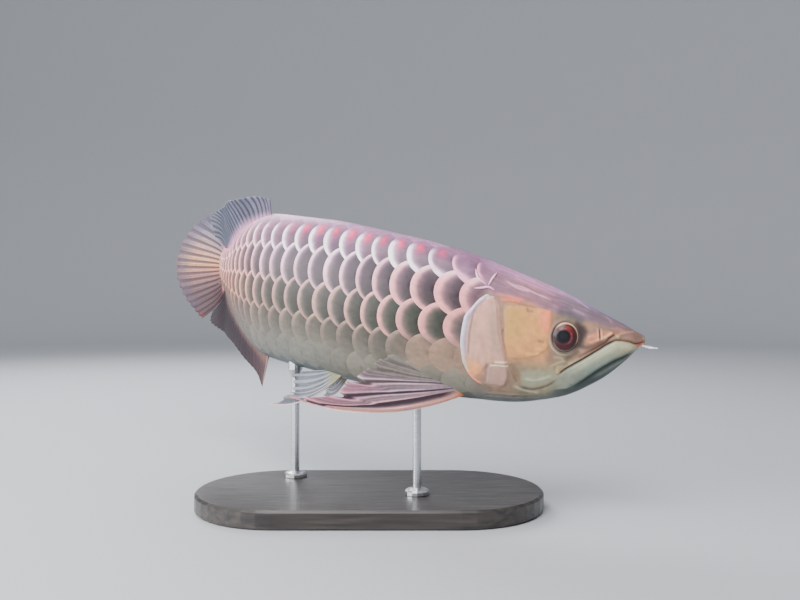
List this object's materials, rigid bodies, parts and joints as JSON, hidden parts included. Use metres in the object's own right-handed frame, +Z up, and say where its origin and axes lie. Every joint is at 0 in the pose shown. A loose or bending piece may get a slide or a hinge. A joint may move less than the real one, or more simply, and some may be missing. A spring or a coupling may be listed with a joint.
{
  "type": "asian arowana fish model",
  "caption": "Life-size still model of a swimming Asian arowana, held over a flat display base by short rods under its belly.",
  "frame": {"origin": "middle of the stand base's flat underside, below the fish's middle", "axes": "+Z up out of the base, +X the way the fish swims and along the base, the fish's right side towards -Y"},
  "size_m": [0.3641, 0.2639, 0.219],
  "materials": {
    "head_skin": "wet satin, mauve above, gold on the cheek, pale green on the jaw",
    "gill_plate": "smooth bony plate with a pale lilac rim",
    "eye": "wet, red iris round a black pupil",
    "barbel": "soft white",
    "scaled_skin": "large satin scales, grey with pale pink rims",
    "dorsal_membrane": "blue-grey membrane with dark rays",
    "anal_membrane": "dark red-brown membrane with rays",
    "caudal_membrane": "cream to russet membrane with banded rays",
    "paired_membrane": "pinkish rays with dark brown bands between",
    "stand_black": "satin black stained wood",
    "stand_steel": "brushed"
  },
  "bodies": {
    "root": {"head": "head_skin", "lower_jaw": "head_skin", "gill_cover_right": "gill_plate", "gill_cover_left": "gill_plate", "eye_right": "eye", "eye_left": "eye", "barbel_right": "barbel", "barbel_left": "barbel", "trunk_front": "scaled_skin", "trunk_rear": "scaled_skin", "tail": "scaled_skin", "dorsal_fin": "dorsal_membrane", "anal_fin": "anal_membrane", "caudal_fin": "caudal_membrane", "pectoral_fin_right": "paired_membrane", "pectoral_fin_left": "paired_membrane", "pelvic_fin_right": "paired_membrane", "pelvic_fin_left": "paired_membrane", "stand_base": "stand_black", "stand_rod_front": "stand_steel", "stand_rod_rear": "stand_steel"}
  },
  "joints": []
}
